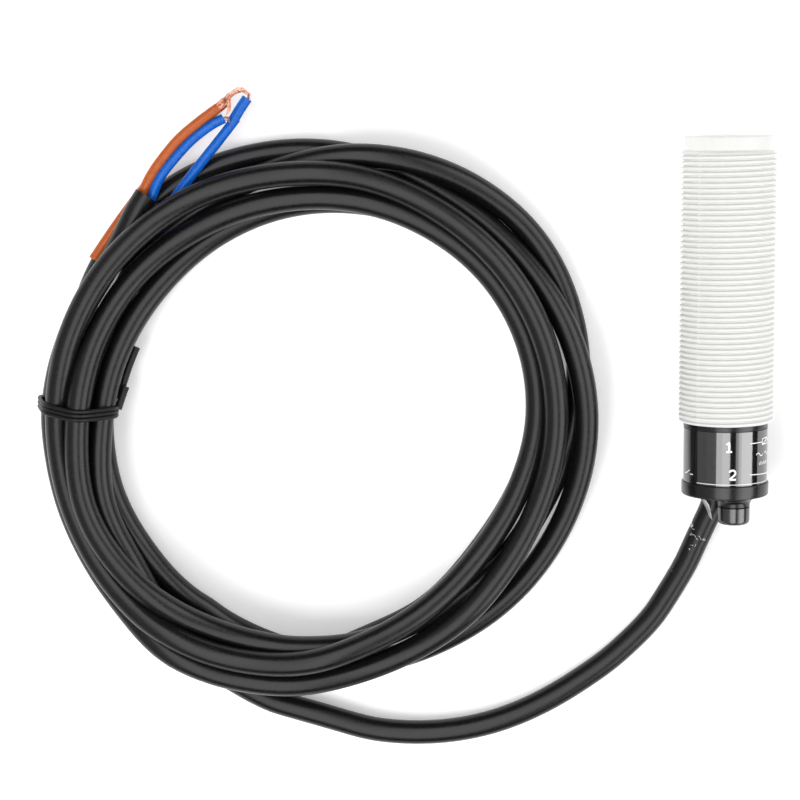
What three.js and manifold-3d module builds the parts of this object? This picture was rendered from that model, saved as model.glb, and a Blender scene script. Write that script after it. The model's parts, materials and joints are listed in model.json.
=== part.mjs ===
// Capacitive proximity sensor in an M18 x 1 threaded plastic barrel, with its two-core lead wound in a
// coil. Millimetres, +Z up. The sensor lies on its side: its axis runs along Y, the sensing face looks
// along +Y, and the lead leaves the rear cap along -Y. The origin is at the middle of the underside of
// the sensor itself, without its lead.
import * as THREE from 'three';
import { mergeVertices } from 'three/addons/utils/BufferGeometryUtils.js';
import Module from 'manifold-3d';

const wasm = await Module();
wasm.setup();

// ---------------------------------------------------------------- driving dimensions
const LENGTH = 73.6;                 // sensing face to the end of the adjuster plug
const THREAD_RADIUS = 9.0;           // M18 x 1
const THREAD_ROOT_RADIUS = 8.42;
const THREAD_PITCH = 1.0;
const COLLAR_RADIUS = 8.4;           // smooth collar in front of the thread
const COLLAR_LENGTH = 2.6;
const COLLAR_EDGE = 0.4;             // chamfer round the sensing face
const BARREL_BORE_RADIUS = 7.3;
const FRONT_WALL = 2.0;
const AXIS_HEIGHT = THREAD_RADIUS;   // the barrel lies on the crests of its thread

const FRONT_Y = LENGTH / 2;
const THREAD_FRONT_Y = FRONT_Y - COLLAR_LENGTH;
const BARREL_REAR_Y = -17.35;
const INNER_FRONT_Y = FRONT_Y - FRONT_WALL;

const CAP_LIP_Y = -17.45;            // front of the cap's lip, against the barrel
const CAP_LIP_RADIUS = 8.02;
const CAP_LIP_LENGTH = 0.9;
const CAP_SLEEVE_RADIUS = 7.8;
const CAP_SPIGOT_RADIUS = 7.15;      // the part of the cap inside the barrel
const CAP_SPIGOT_LENGTH = 4.9;
const CAP_INNER_RADIUS = 6.35;
const FLANGE_RADIUS = 8.3;
const FLANGE_FRONT_Y = -28.9;
const FLANGE_REAR_Y = -31.4;
const CAP_REAR_WALL = 2.0;
const CAP_REAR_EDGE = 0.35;          // chamfer round the back of the flange
const SMALL_EDGE = 0.2;
const FIT = 0.1;                     // clearance between pieces that fit into each other

const LABEL_THICKNESS = 0.12;
const LABEL_GAP = 0.04;
const LABEL_MARGIN = 0.15;           // bare strip at each end of the sleeve

const BOSS_X = 1.3;                  // the adjuster's own axis, above the barrel's
const BOSS_Z = 12.0;
const BOSS_RADIUS = 3.05;
const BOSS_FILLET = 1.45;
const BOSS_NECK_Y = -33.4;
const BOSS_BORE_RADIUS = 1.85;
const PLUG_STEM_RADIUS = 1.65;
const PLUG_STEM_FRONT_Y = -30.2;
const PLUG_REAR_Y = -LENGTH / 2;
const PLUG_END_RADIUS = 0.9;
const PLUG_STEM_EDGE = 0.3;

const TRIMMER_RADIUS = 2.9;
const TRIMMER_FRONT_Y = -23.2;
const TRIMMER_REAR_Y = -26.6;
const TRIMMER_EDGE = 0.3;
const ROTOR_RADIUS = 1.5;            // head of the rotor
const ROTOR_HEAD_LENGTH = 1.6;
const ROTOR_SHAFT_RADIUS = 0.72;
const ROTOR_SHAFT_LENGTH = 1.6;
const ROTOR_SHAFT_CLEARANCE = 0.08;
const ROTOR_BORE_DEPTH = 2.0;
const ROTOR_SLOT_WIDTH = 0.5;
const ROTOR_SLOT_DEPTH = 0.7;

const CABLE_RADIUS = 2.35;
const CABLE_X = -1.2;                // where the lead goes through the cap's rear wall
const CABLE_Z = 5.5;
const CABLE_INNER_Y = -26.2;
const BUSH_BORE_RADIUS = 2.55;
const BUSH_RADIUS = 3.0;
const BUSH_PROUD = 0.5;              // how far the bush stands out of the rear wall

const LENS_X = -4.6;
const LENS_Z = 11.2;
const LENS_RADIUS = 1.1;
const LENS_FRONT_Y = -29.0;
const LENS_DOME = 0.35;

const BOARD_WIDTH = 11.0;
const BOARD_FRONT_Y = 27.5;
const BOARD_REAR_Y = -25.9;
const BOARD_TOP_Z = 8.9;
const BOARD_THICKNESS = 1.0;
const SEAT = 0.05;                   // solder and glue line under each component
const RESIN_DAM_Y = -20.2;
const RESIN_DAM_THICKNESS = 1.8;
const INNER_LEAD_RADIUS = 0.7;

const COIL_X = -77.9;                // centre of the wound lead
const COIL_Y = -17.6;
const COIL_INNER_RADIUS = 37.6;
const COIL_OUTER_RADIUS = 57.2;
const COIL_HEIGHT = 11.0;
const TIE_ANGLE = 176.0;             // place of the tie round the coil, degrees from +X
const TIE_WIDTH = 2.6;
const TIE_THICKNESS = 1.1;
const TIE_GAP = 0.3;
const TIE_LIFT = 0.2;                // the tie's underside above the table

const CORE_RADIUS = 0.95;            // one insulated conductor
const STRAND_RADIUS = 0.5;           // its bare copper

const AROUND = 24;                   // facets round most turned pieces
const AROUND_THREAD = 20;
const AROUND_SMALL = 16;

// ---------------------------------------------------------------- finishes
const whitePlastic = new THREE.MeshStandardMaterial({ color: 0xf1f1ec, roughness: 0.45, metalness: 0 });
const blackPlastic = new THREE.MeshStandardMaterial({ color: 0x151517, roughness: 0.2, metalness: 0 });
const labelFilm = new THREE.MeshStandardMaterial({ color: 0x101012, roughness: 0.12, metalness: 0 });
const cableSheath = new THREE.MeshStandardMaterial({ color: 0x18181a, roughness: 0.42, metalness: 0 });
const blackRubber = new THREE.MeshStandardMaterial({ color: 0x1c1c1e, roughness: 0.6, metalness: 0 });
const brownCore = new THREE.MeshStandardMaterial({ color: 0xb9562a, roughness: 0.4, metalness: 0 });
const blueCore = new THREE.MeshStandardMaterial({ color: 0x1a5fd0, roughness: 0.4, metalness: 0 });
const copper = new THREE.MeshStandardMaterial({ color: 0xc98a63, roughness: 0.3, metalness: 1 });
const boardGreen = new THREE.MeshStandardMaterial({ color: 0x1f5b3a, roughness: 0.5, metalness: 0 });
const chipBlack = new THREE.MeshStandardMaterial({ color: 0x202022, roughness: 0.5, metalness: 0 });
const ceramic = new THREE.MeshStandardMaterial({ color: 0xb8966a, roughness: 0.5, metalness: 0 });
const suppressorBlue = new THREE.MeshStandardMaterial({ color: 0x2a6fb0, roughness: 0.4, metalness: 0 });
const canAluminium = new THREE.MeshStandardMaterial({ color: 0xb9bcc0, roughness: 0.3, metalness: 1 });
const carrierPlastic = new THREE.MeshStandardMaterial({ color: 0xd9d6cc, roughness: 0.5, metalness: 0 });
const brass = new THREE.MeshStandardMaterial({ color: 0xc2a14d, roughness: 0.3, metalness: 1 });
const redLens = new THREE.MeshStandardMaterial({ color: 0xc2201a, roughness: 0.15, metalness: 0 });
const resin = new THREE.MeshStandardMaterial({ color: 0x4a4438, roughness: 0.3, metalness: 0 });

// ---------------------------------------------------------------- helpers
const part = new THREE.Group();

function addPart(name, geometry, material, x = 0, y = 0, z = 0) {
  const mesh = new THREE.Mesh(geometry, material);
  mesh.name = name;
  mesh.position.set(x, y, z);
  part.add(mesh);
  return mesh;
}

// a body turned about the Y axis; the outline is a list of [radius, y]
function turned(outline, around = AROUND) {
  return new THREE.LatheGeometry(outline.map(([r, y]) => new THREE.Vector2(r, y)), around);
}

// a plain round bar along Y, from one y to a lower one
function bar(radius, frontY, rearY, around = AROUND) {
  return turned([[0, rearY], [radius, rearY], [radius, frontY], [0, frontY]], around);
}

function box(width, length, height) {
  return new THREE.BoxGeometry(width, length, height);
}

// points of a quarter circle, from one angle to another, in degrees
function arc(centreR, centreY, radius, from, to, steps) {
  const points = [];
  for (let i = 0; i <= steps; i += 1) {
    const angle = THREE.MathUtils.degToRad(from + ((to - from) * i) / steps);
    points.push([centreR + radius * Math.cos(angle), centreY + radius * Math.sin(angle)]);
  }
  return points;
}

// a round tube along a smooth curve through the given points
function tube(points, radius, sides, steps) {
  const section = new THREE.Shape();
  for (let i = 0; i < sides; i += 1) {
    const angle = (2 * Math.PI * i) / sides;
    const x = radius * Math.cos(angle);
    const y = radius * Math.sin(angle);
    if (i === 0) section.moveTo(x, y);
    else section.lineTo(x, y);
  }
  const places = points.map((point) => new THREE.Vector3(...point));
  const path = new THREE.CatmullRomCurve3(places, false, 'centripetal');
  return new THREE.ExtrudeGeometry(section, { steps, bevelEnabled: false, extrudePath: path });
}

function toSolid(geometry) {
  const plain = geometry.clone();
  plain.deleteAttribute('normal');
  plain.deleteAttribute('uv');
  const merged = mergeVertices(plain, 1e-5);
  return new wasm.Manifold(new wasm.Mesh({
    numProp: 3,
    vertProperties: new Float32Array(merged.attributes.position.array),
    triVerts: new Uint32Array(merged.index.array),
  }));
}

function toGeometry(solid) {
  const mesh = solid.getMesh();
  const geometry = new THREE.BufferGeometry();
  geometry.setAttribute('position', new THREE.BufferAttribute(new Float32Array(mesh.vertProperties), 3));
  geometry.setIndex(new THREE.BufferAttribute(new Uint32Array(mesh.triVerts), 1));
  return geometry;
}

function placed(geometry, x, y, z) {
  return geometry.clone().translate(x, y, z);
}

// ---------------------------------------------------------------- barrel
const LAST_RANK = 1000;              // beyond the rank of any row of the thread

// The outline of the barrel at one angle about its axis. Each point is [radius, y, rank], and rank
// orders the points along the outline. A thread row climbs by one pitch in a turn, so its rank stays
// the same all the way along the helix.
function barrelOutline(turnPart) {
  const clear = 0.15 * THREAD_PITCH;
  const outline = [
    [0, FRONT_Y, -LAST_RANK],
    [COLLAR_RADIUS - COLLAR_EDGE, FRONT_Y, -LAST_RANK + 1],
    [COLLAR_RADIUS, FRONT_Y - COLLAR_EDGE, -LAST_RANK + 2],
    [COLLAR_RADIUS, THREAD_FRONT_Y, -LAST_RANK + 3],
  ];
  const rows = Math.ceil((2 * (THREAD_FRONT_Y - BARREL_REAR_Y)) / THREAD_PITCH);
  for (let row = rows; row >= -2; row -= 1) {
    const y = BARREL_REAR_Y + THREAD_PITCH * (row / 2 + turnPart);
    if (y > BARREL_REAR_Y + clear && y < THREAD_FRONT_Y - clear) {
      const isCrest = Math.abs(row % 2) === 1;
      outline.push([isCrest ? THREAD_RADIUS : THREAD_ROOT_RADIUS, y, -row]);
    }
  }
  outline.push([THREAD_ROOT_RADIUS - FIT, BARREL_REAR_Y, LAST_RANK]);
  outline.push([BARREL_BORE_RADIUS, BARREL_REAR_Y, LAST_RANK + 1]);
  outline.push([BARREL_BORE_RADIUS, INNER_FRONT_Y, LAST_RANK + 2]);
  outline.push([0, INNER_FRONT_Y, LAST_RANK + 3]);
  return outline;
}

// Columns of points round the barrel, joined by triangles from rank to rank. Past the last column the
// thread's rows join the next ones along, two ranks on.
function threadedBarrel() {
  const positions = [];
  const triangles = [];
  const columns = [];
  const poles = new Map();
  for (let i = 0; i < AROUND_THREAD; i += 1) {
    const angle = (2 * Math.PI * i) / AROUND_THREAD;
    const column = barrelOutline(i / AROUND_THREAD).map(([radius, y, rank]) => {
      if (radius === 0 && poles.has(rank)) return { index: poles.get(rank), rank };
      const index = positions.length / 3;
      positions.push(radius * Math.sin(angle), y, radius * Math.cos(angle));
      if (radius === 0) poles.set(rank, index);
      return { index, rank };
    });
    columns.push(column);
  }
  const triangle = (a, b, c) => {
    if (a !== b && b !== c && c !== a) triangles.push(a, b, c);
  };
  columns.forEach((left, i) => {
    const closes = i === AROUND_THREAD - 1;
    const right = columns[(i + 1) % AROUND_THREAD].map(({ index, rank }) => ({
      index,
      rank: closes && Math.abs(rank) < LAST_RANK - 3 ? rank + 2 : rank,
    }));
    let a = 0;
    let b = 0;
    while (a < left.length - 1 || b < right.length - 1) {
      const leftGoes = b === right.length - 1
        || (a < left.length - 1 && left[a + 1].rank <= right[b + 1].rank);
      if (leftGoes) {
        triangle(left[a].index, left[a + 1].index, right[b].index);
        a += 1;
      } else {
        triangle(left[a].index, right[b + 1].index, right[b].index);
        b += 1;
      }
    }
  });
  const geometry = new THREE.BufferGeometry();
  geometry.setAttribute('position', new THREE.BufferAttribute(new Float32Array(positions), 3));
  geometry.setIndex(triangles);
  return geometry;
}

addPart('barrel', threadedBarrel(), whitePlastic, 0, 0, AXIS_HEIGHT);

// ---------------------------------------------------------------- rear cap
// Spigot, lip, sleeve and flange are turned about the barrel's axis. The neck of the adjuster boss is
// joined on, and the adjuster bore, the lead's hole and the lens hole are cut through the rear wall.
function rearCap() {
  const rearWallY = FLANGE_REAR_Y + CAP_REAR_WALL;
  const shell = turned([
    [0, FLANGE_REAR_Y],
    [FLANGE_RADIUS - CAP_REAR_EDGE, FLANGE_REAR_Y],
    [FLANGE_RADIUS, FLANGE_REAR_Y + CAP_REAR_EDGE],
    [FLANGE_RADIUS, FLANGE_FRONT_Y - SMALL_EDGE],
    [FLANGE_RADIUS - SMALL_EDGE, FLANGE_FRONT_Y],
    [CAP_SLEEVE_RADIUS, FLANGE_FRONT_Y],
    [CAP_SLEEVE_RADIUS, CAP_LIP_Y - CAP_LIP_LENGTH],
    [CAP_LIP_RADIUS, CAP_LIP_Y - CAP_LIP_LENGTH + SMALL_EDGE],
    [CAP_LIP_RADIUS, CAP_LIP_Y],
    [CAP_SPIGOT_RADIUS, CAP_LIP_Y],
    [CAP_SPIGOT_RADIUS, CAP_LIP_Y + CAP_SPIGOT_LENGTH],
    [CAP_INNER_RADIUS, CAP_LIP_Y + CAP_SPIGOT_LENGTH],
    [CAP_INNER_RADIUS, rearWallY],
    [0, rearWallY],
  ]);
  const neckFrontY = FLANGE_REAR_Y + CAP_REAR_WALL / 4;
  const neck = turned([
    [0, BOSS_NECK_Y],
    [BOSS_RADIUS, BOSS_NECK_Y],
    ...arc(BOSS_RADIUS + BOSS_FILLET, FLANGE_REAR_Y - BOSS_FILLET, BOSS_FILLET, 180, 90, 5),
    [BOSS_RADIUS + BOSS_FILLET, neckFrontY],
    [0, neckFrontY],
  ]);
  const bores = [
    { radius: BOSS_BORE_RADIUS, x: BOSS_X, z: BOSS_Z },
    { radius: BUSH_RADIUS + FIT, x: CABLE_X, z: CABLE_Z },
    { radius: LENS_RADIUS + FIT, x: LENS_X, z: LENS_Z },
  ];
  let solid = toSolid(shell).add(toSolid(placed(neck, BOSS_X, 0, BOSS_Z - AXIS_HEIGHT)));
  bores.forEach(({ radius, x, z }) => {
    const bore = placed(bar(radius, rearWallY + 1, BOSS_NECK_Y - 1), x, 0, z - AXIS_HEIGHT);
    solid = solid.subtract(toSolid(bore));
  });
  return toGeometry(solid);
}

addPart('rear_cap', rearCap(), blackPlastic, 0, 0, AXIS_HEIGHT);

// printed film wrapped round the cap's sleeve
function ratingLabel() {
  const inner = CAP_SLEEVE_RADIUS + LABEL_GAP;
  const outer = inner + LABEL_THICKNESS;
  const front = CAP_LIP_Y - CAP_LIP_LENGTH - LABEL_MARGIN;
  const rear = FLANGE_FRONT_Y + LABEL_MARGIN;
  return turned([[inner, rear], [outer, rear], [outer, front], [inner, front], [inner, rear]]);
}

addPart('rating_label', ratingLabel(), labelFilm, 0, 0, AXIS_HEIGHT);

// ---------------------------------------------------------------- sensitivity adjuster
// a removable plug closes the boss, and the slotted rotor is reached through the bore behind it
function adjusterPlug() {
  const headFront = BOSS_NECK_Y - FIT;
  return turned([
    [0, PLUG_REAR_Y],
    ...arc(BOSS_RADIUS - PLUG_END_RADIUS, PLUG_REAR_Y + PLUG_END_RADIUS, PLUG_END_RADIUS, -90, 0, 4),
    [BOSS_RADIUS, headFront],
    [PLUG_STEM_RADIUS, headFront],
    [PLUG_STEM_RADIUS, PLUG_STEM_FRONT_Y - PLUG_STEM_EDGE],
    [PLUG_STEM_RADIUS - PLUG_STEM_EDGE, PLUG_STEM_FRONT_Y],
    [0, PLUG_STEM_FRONT_Y],
  ]);
}

function trimmerBody() {
  const boreRadius = ROTOR_SHAFT_RADIUS + ROTOR_SHAFT_CLEARANCE;
  return turned([
    [0, TRIMMER_REAR_Y + ROTOR_BORE_DEPTH],
    [boreRadius, TRIMMER_REAR_Y + ROTOR_BORE_DEPTH],
    [boreRadius, TRIMMER_REAR_Y],
    [TRIMMER_RADIUS - TRIMMER_EDGE, TRIMMER_REAR_Y],
    [TRIMMER_RADIUS, TRIMMER_REAR_Y + TRIMMER_EDGE],
    [TRIMMER_RADIUS, TRIMMER_FRONT_Y],
    [0, TRIMMER_FRONT_Y],
  ], AROUND_SMALL);
}

// a head with a screwdriver slot, on a shaft that turns in the trimmer's bore
function trimmerRotor() {
  const headFront = TRIMMER_REAR_Y - FIT;
  const headRear = headFront - ROTOR_HEAD_LENGTH;
  const solid = toSolid(turned([
    [0, headRear],
    [ROTOR_RADIUS - SMALL_EDGE, headRear],
    [ROTOR_RADIUS, headRear + SMALL_EDGE],
    [ROTOR_RADIUS, headFront],
    [ROTOR_SHAFT_RADIUS, headFront],
    [ROTOR_SHAFT_RADIUS, headFront + ROTOR_SHAFT_LENGTH],
    [0, headFront + ROTOR_SHAFT_LENGTH],
  ], AROUND_SMALL));
  const slot = placed(box(3 * ROTOR_RADIUS, 2 * ROTOR_SLOT_DEPTH, ROTOR_SLOT_WIDTH), 0, headRear, 0);
  return toGeometry(solid.subtract(toSolid(slot)));
}

addPart('adjuster_plug', adjusterPlug(), blackPlastic, BOSS_X, 0, BOSS_Z);
addPart('sensitivity_trimmer', trimmerBody(), suppressorBlue, BOSS_X, 0, BOSS_Z);
addPart('trimmer_rotor', trimmerRotor(), brass, BOSS_X, 0, BOSS_Z);

// ---------------------------------------------------------------- indicator and lead bush
function indicatorLens() {
  return turned([
    [0, FLANGE_REAR_Y - LENS_DOME],
    [LENS_RADIUS * 0.55, FLANGE_REAR_Y - LENS_DOME * 0.7],
    [LENS_RADIUS, FLANGE_REAR_Y],
    [LENS_RADIUS, LENS_FRONT_Y],
    [0, LENS_FRONT_Y],
  ], AROUND_SMALL);
}

// a round-ended light with a rim at its base, just behind the lens
function indicatorLed() {
  const radius = 1.0;
  const rim = 0.2;
  const rear = LENS_FRONT_Y + 0.4;
  const base = rear + 2.0;
  return turned([
    [0, rear],
    [radius * 0.6, rear + 0.1],
    [radius, rear + 0.6],
    [radius, base],
    [radius + rim, base],
    [radius + rim, base + 2 * rim],
    [0, base + 2 * rim],
  ], AROUND_SMALL);
}

// the bush is a rubber sleeve in the cap's rear wall, and stands a little proud of it
function cableBush() {
  const rear = FLANGE_REAR_Y - BUSH_PROUD;
  const front = FLANGE_REAR_Y + CAP_REAR_WALL;
  return turned([
    [BUSH_BORE_RADIUS, rear],
    [BUSH_RADIUS, rear],
    [BUSH_RADIUS, front],
    [BUSH_BORE_RADIUS, front],
    [BUSH_BORE_RADIUS, rear],
  ]);
}

addPart('indicator_lens', indicatorLens(), redLens, LENS_X, 0, LENS_Z);
addPart('indicator_led', indicatorLed(), redLens, LENS_X, 0, LENS_Z);
addPart('cable_bush', cableBush(), blackRubber, CABLE_X, 0, CABLE_Z);

// ---------------------------------------------------------------- sensing head
// the electrode and the guard ring round it sit on a moulded carrier just behind the sensing face
const CARRIER_FRONT_Y = INNER_FRONT_Y - 1.2;
const CARRIER_REAR_Y = BOARD_FRONT_Y + 0.3;
const CARRIER_RADIUS = 7.1;
const CARRIER_SKIRT = 1.2;           // wall of the skirt behind the carrier's disc
const CARRIER_SKIRT_DEPTH = 3.0;
const ELECTRODE_RADIUS = 5.2;
const ELECTRODE_THICKNESS = 0.4;
const GUARD_INNER_RADIUS = 6.0;
const GUARD_OUTER_RADIUS = 7.0;
const GUARD_THICKNESS = 0.6;

function electrodeCarrier() {
  return turned([
    [0, CARRIER_REAR_Y + CARRIER_SKIRT_DEPTH],
    [CARRIER_RADIUS - CARRIER_SKIRT, CARRIER_REAR_Y + CARRIER_SKIRT_DEPTH],
    [CARRIER_RADIUS - CARRIER_SKIRT, CARRIER_REAR_Y],
    [CARRIER_RADIUS, CARRIER_REAR_Y],
    [CARRIER_RADIUS, CARRIER_FRONT_Y],
    [0, CARRIER_FRONT_Y],
  ]);
}

function guardRing() {
  const rear = CARRIER_FRONT_Y + FIT;
  const front = rear + GUARD_THICKNESS;
  return turned([
    [GUARD_INNER_RADIUS, rear],
    [GUARD_OUTER_RADIUS, rear],
    [GUARD_OUTER_RADIUS, front],
    [GUARD_INNER_RADIUS, front],
    [GUARD_INNER_RADIUS, rear],
  ]);
}

function sensingElectrode() {
  const rear = CARRIER_FRONT_Y + FIT;
  return bar(ELECTRODE_RADIUS, rear + ELECTRODE_THICKNESS, rear);
}

addPart('electrode_carrier', electrodeCarrier(), carrierPlastic, 0, 0, AXIS_HEIGHT);
addPart('sensing_electrode', sensingElectrode(), copper, 0, 0, AXIS_HEIGHT);
addPart('guard_ring', guardRing(), copper, 0, 0, AXIS_HEIGHT);

// ---------------------------------------------------------------- circuit
function addBoard() {
  const length = BOARD_FRONT_Y - BOARD_REAR_Y;
  addPart('circuit_board', box(BOARD_WIDTH, length, BOARD_THICKNESS), boardGreen,
    0, (BOARD_FRONT_Y + BOARD_REAR_Y) / 2, BOARD_TOP_Z - BOARD_THICKNESS / 2);
}

// a boxed component on the board's top side, or on its underside
function addComponent(name, material, [width, length, height], x, y, below = false) {
  const z = below
    ? BOARD_TOP_Z - BOARD_THICKNESS - SEAT - height / 2
    : BOARD_TOP_Z + SEAT + height / 2;
  addPart(name, box(width, length, height), material, x, y, z);
}

addBoard();
addComponent('oscillator_chip', chipBlack, [4.0, 5.0, 1.5], 0, 21);
addComponent('timing_capacitor', ceramic, [1.3, 2.0, 1.0], -3.2, 15.5);
addComponent('feedback_resistor', chipBlack, [1.3, 2.0, 0.6], 3.2, 15.5);
addComponent('comparator_chip', chipBlack, [4.0, 5.0, 1.5], 0, 11);
addComponent('driver_transistor', chipBlack, [1.4, 3.0, 1.1], -3.0, 5.5);
addComponent('bridge_rectifier', chipBlack, [4.8, 4.8, 2.4], 0, -10.2);
addComponent('output_thyristor', chipBlack, [6.4, 6.6, 2.3], 0, -2, true);
addComponent('filter_capacitor', ceramic, [2.5, 3.2, 1.8], 0, 10, true);

// a round component that lies along the board's top side, or along its underside
function addRoundComponent(name, material, radius, length, x, y, below = false) {
  const z = below
    ? BOARD_TOP_Z - BOARD_THICKNESS - SEAT - radius
    : BOARD_TOP_Z + SEAT + radius;
  addPart(name, bar(radius, length / 2, -length / 2, AROUND_SMALL), material, x, y, z);
}

addRoundComponent('zener_diode', chipBlack, 0.75, 3.5, 2.8, 5.5);
addRoundComponent('supply_capacitor', canAluminium, 2.4, 7.0, 0, -2);
addRoundComponent('bleed_resistor', ceramic, 1.1, 6.0, 0, -12, true);

// the suppressor is a disc that lies flat above the board
const SUPPRESSOR_THICKNESS = 2.0;
const SUPPRESSOR_LIFT = 0.3;
addPart('surge_suppressor',
  bar(2.6, SUPPRESSOR_THICKNESS / 2, -SUPPRESSOR_THICKNESS / 2, AROUND_SMALL).rotateX(Math.PI / 2),
  suppressorBlue, 0, -16.4, BOARD_TOP_Z + SUPPRESSOR_LIFT + SUPPRESSOR_THICKNESS / 2);

// resin dam across the cap, with a slot for the board
function resinDam() {
  const slotGap = 0.3;
  const outline = new THREE.Shape();
  outline.absarc(0, 0, CAP_INNER_RADIUS - 2 * FIT, 0, 2 * Math.PI, false);
  const slot = new THREE.Path();
  const halfWidth = BOARD_WIDTH / 2 + 2 * FIT;
  const top = BOARD_TOP_Z + slotGap - AXIS_HEIGHT;
  const bottom = top - BOARD_THICKNESS - 2 * slotGap;
  slot.moveTo(-halfWidth, bottom);
  slot.lineTo(-halfWidth, top);
  slot.lineTo(halfWidth, top);
  slot.lineTo(halfWidth, bottom);
  outline.holes.push(slot);
  const options = { depth: RESIN_DAM_THICKNESS, bevelEnabled: false, curveSegments: AROUND };
  return new THREE.ExtrudeGeometry(outline, options).rotateX(Math.PI / 2);
}

addPart('resin_dam', resinDam(), resin, 0, RESIN_DAM_Y, AXIS_HEIGHT);

// the two conductors run from the end of the sheath up to the board's underside
function addInnerLead(name, material, side) {
  const x = CABLE_X + side * CORE_RADIUS;
  const padX = CABLE_X + side * 2 * CORE_RADIUS;
  const points = [
    [x, CABLE_INNER_Y + 0.3, CABLE_Z],
    [x + side * 0.3, CABLE_INNER_Y + 1.4, CABLE_Z + 0.2],
    [padX, CABLE_INNER_Y + 2.4, CABLE_Z + 0.9],
    [padX, CABLE_INNER_Y + 2.6, BOARD_TOP_Z - BOARD_THICKNESS - 0.3],
  ];
  addPart(name, tube(points, INNER_LEAD_RADIUS, 8, 8), material);
}

addInnerLead('brown_inner_lead', brownCore, -1);
addInnerLead('blue_inner_lead', blueCore, 1);

// ---------------------------------------------------------------- lead
// route of the lead from inside the cap to the coil: straight out, down to the table and round
const LEAD_ROUTE = [
  [CABLE_X, CABLE_INNER_Y, CABLE_Z],
  [CABLE_X, -29.0, CABLE_Z],
  [CABLE_X, -31.9, CABLE_Z],
  [-2.0, -35.2, 5.3],
  [-3.3, -38.3, 4.9],
  [-4.9, -42.2, 4.1],
  [-6.8, -46.8, 3.2],
  [-9.9, -52.5, 2.5],
  [-13.5, -58.0, 2.4],
  [-19.2, -63.8, 2.4],
  [-23.7, -67.5, 2.4],
  [-32.6, -73.3, 2.4],
  [-41.7, -77.5, 2.4],
  [-50.8, -79.8, 2.4],
  [-60.0, -80.4, 2.4],
  [-69.1, -79.5, 2.4],
  [-77.0, -77.8, 2.4],
];

addPart('cable_lead', tube(LEAD_ROUTE, CABLE_RADIUS, 10, 26), cableSheath);

// outer shape of the wound lead, with a shallow groove underneath where the tie passes
function cableCoil() {
  const soften = 1.8;
  const grooveWidth = TIE_WIDTH + 2 * TIE_GAP;
  const grooveDepth = TIE_LIFT + TIE_THICKNESS + TIE_GAP;
  const ring = turned([
    [COIL_INNER_RADIUS + soften, 0],
    [COIL_OUTER_RADIUS - soften, 0],
    [COIL_OUTER_RADIUS, soften],
    [COIL_OUTER_RADIUS, COIL_HEIGHT - soften],
    [COIL_OUTER_RADIUS - soften, COIL_HEIGHT],
    [COIL_INNER_RADIUS + soften, COIL_HEIGHT],
    [COIL_INNER_RADIUS, COIL_HEIGHT - soften],
    [COIL_INNER_RADIUS, soften],
    [COIL_INNER_RADIUS + soften, 0],
  ], 48).rotateX(Math.PI / 2);
  const groove = box(COIL_OUTER_RADIUS - COIL_INNER_RADIUS + 8, grooveWidth, 2 * grooveDepth)
    .translate((COIL_OUTER_RADIUS + COIL_INNER_RADIUS) / 2, 0, 0)
    .rotateZ(THREE.MathUtils.degToRad(TIE_ANGLE));
  return toGeometry(toSolid(ring).subtract(toSolid(groove)));
}

// the tie is a flat plastic-covered wire passed round the section of the coil
function coilTie() {
  const inner = COIL_INNER_RADIUS - TIE_GAP;
  const outer = COIL_OUTER_RADIUS + TIE_GAP;
  const bottom = TIE_LIFT + TIE_THICKNESS;
  const top = COIL_HEIGHT + TIE_GAP;
  const loop = new THREE.Shape();
  loop.moveTo(inner - TIE_THICKNESS, bottom - TIE_THICKNESS);
  loop.lineTo(outer + TIE_THICKNESS, bottom - TIE_THICKNESS);
  loop.lineTo(outer + TIE_THICKNESS, top + TIE_THICKNESS);
  loop.lineTo(inner - TIE_THICKNESS, top + TIE_THICKNESS);
  const opening = new THREE.Path();
  opening.moveTo(inner, bottom);
  opening.lineTo(inner, top);
  opening.lineTo(outer, top);
  opening.lineTo(outer, bottom);
  loop.holes.push(opening);
  return new THREE.ExtrudeGeometry(loop, { depth: TIE_WIDTH, bevelEnabled: false })
    .rotateX(Math.PI / 2)
    .translate(0, TIE_WIDTH / 2, 0)
    .rotateZ(THREE.MathUtils.degToRad(TIE_ANGLE));
}

addPart('cable_coil', cableCoil(), cableSheath, COIL_X, COIL_Y, 0);
addPart('coil_tie', coilTie(), blackRubber, COIL_X, COIL_Y, 0);

// ---------------------------------------------------------------- bared ends of the two conductors
// Each conductor stands clear of the coil. Its half-stripped insulation is folded back underneath it,
// and the bare copper strands bridge the fold.
function addConductor(name, material, steps, points) {
  addPart(name, tube(points, CORE_RADIUS, 8, steps), material);
}

function addStrands(name, points) {
  addPart(name, tube(points, STRAND_RADIUS, 6, 8), copper);
}

addConductor('brown_core', brownCore, 7, [[-107.2, 33.2, 6.4], [-101.4, 39.5, 5.6], [-96.2, 42.8, 4.8]]);
addConductor('blue_core', blueCore, 6, [[-102.2, 35.3, 6.2], [-99.8, 37.8, 5.6], [-95.8, 40.2, 4.8]]);
addConductor('brown_slug', brownCore, 7, [[-94.9, 44.2, 1.6], [-99.4, 40.8, 1.4], [-105.6, 34.9, 1.4]]);
addConductor('blue_slug', blueCore, 6, [[-90.9, 44.4, 1.6], [-93.8, 40.8, 1.4], [-97.2, 37.8, 1.4]]);
addStrands('brown_strands', [[-95.6, 43.2, 4.8], [-93.8, 44.6, 4.6], [-93.0, 45.4, 3.2], [-94.2, 44.8, 1.9]]);
addStrands('blue_strands', [[-95.2, 40.5, 4.8], [-92.4, 42.6, 4.6], [-89.9, 45.2, 3.2], [-90.6, 44.9, 2.0]]);

export default part;
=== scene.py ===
import json
import math
import random

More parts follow.
